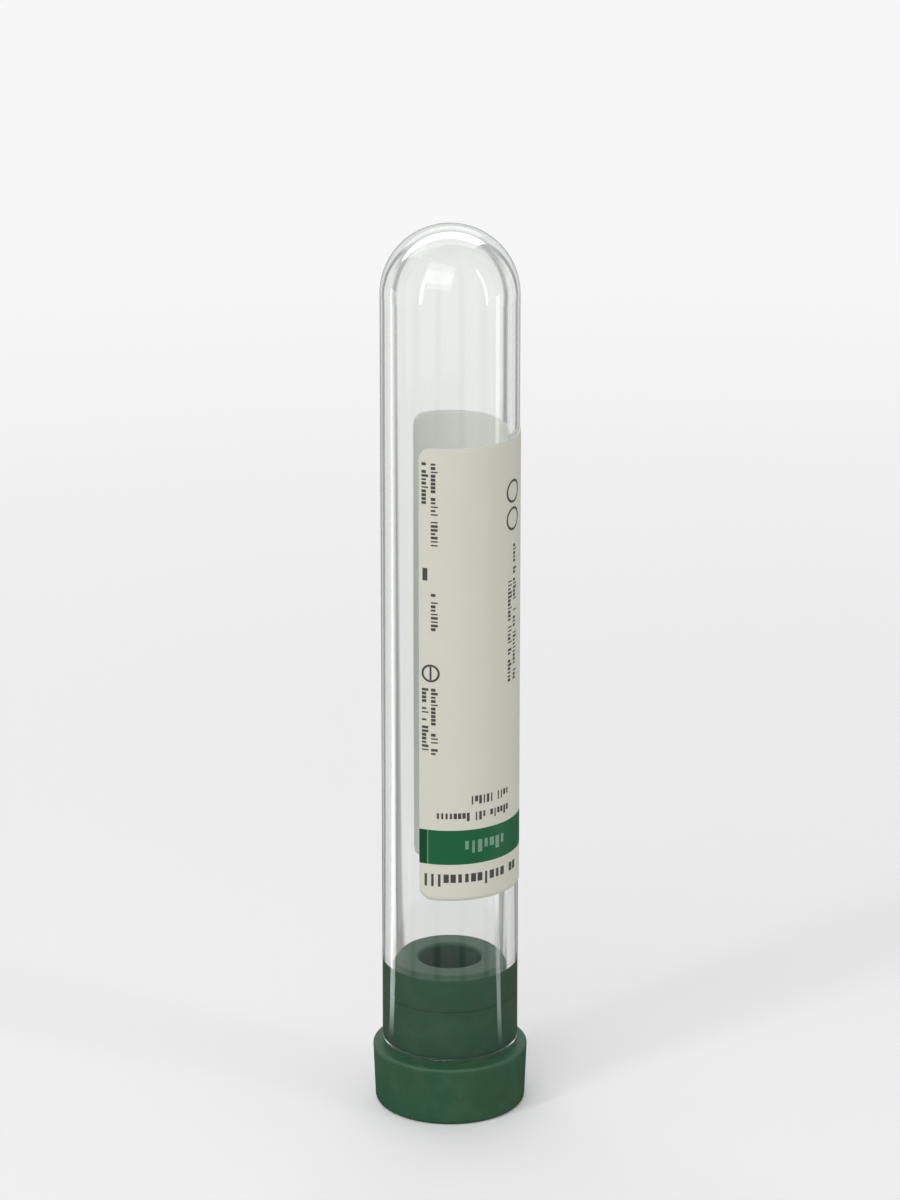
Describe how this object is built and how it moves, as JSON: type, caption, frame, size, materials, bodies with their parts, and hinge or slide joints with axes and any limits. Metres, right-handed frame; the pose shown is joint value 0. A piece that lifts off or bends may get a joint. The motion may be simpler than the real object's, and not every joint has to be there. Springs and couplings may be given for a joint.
{
  "type": "blood collection tube",
  "caption": "Round-bottomed glass tube with a green push-in rubber stopper and a wrapped paper label, standing upside down on its stopper.",
  "frame": {"origin": "middle of the stopper's raised rim, on the surface that the part stands on", "axes": "+Z along the tube's axis from the stopper up to the round bottom, +Y away from the viewer of the label's printed front, +X to the right seen from there. The part is upside down because it can't stand on its round bottom and rolls on its side; in use a rack holds it with the stopper up."},
  "size_m": [0.0182, 0.0182, 0.1072],
  "materials": {
    "tube_glass": "clear, smooth",
    "stopper_rubber": "matt dark green",
    "label_paper": "matt off-white with a green band"
  },
  "bodies": {
    "stopper": {"stopper": "stopper_rubber"},
    "tube": {"glass_tube": "tube_glass", "label": "label_paper"}
  },
  "joints": [
    {"name": "stopper_pull", "type": "slide", "parent": "stopper", "child": "tube", "axis": [0, 0, 1], "range_m": [0, 0.025]}
  ]
}
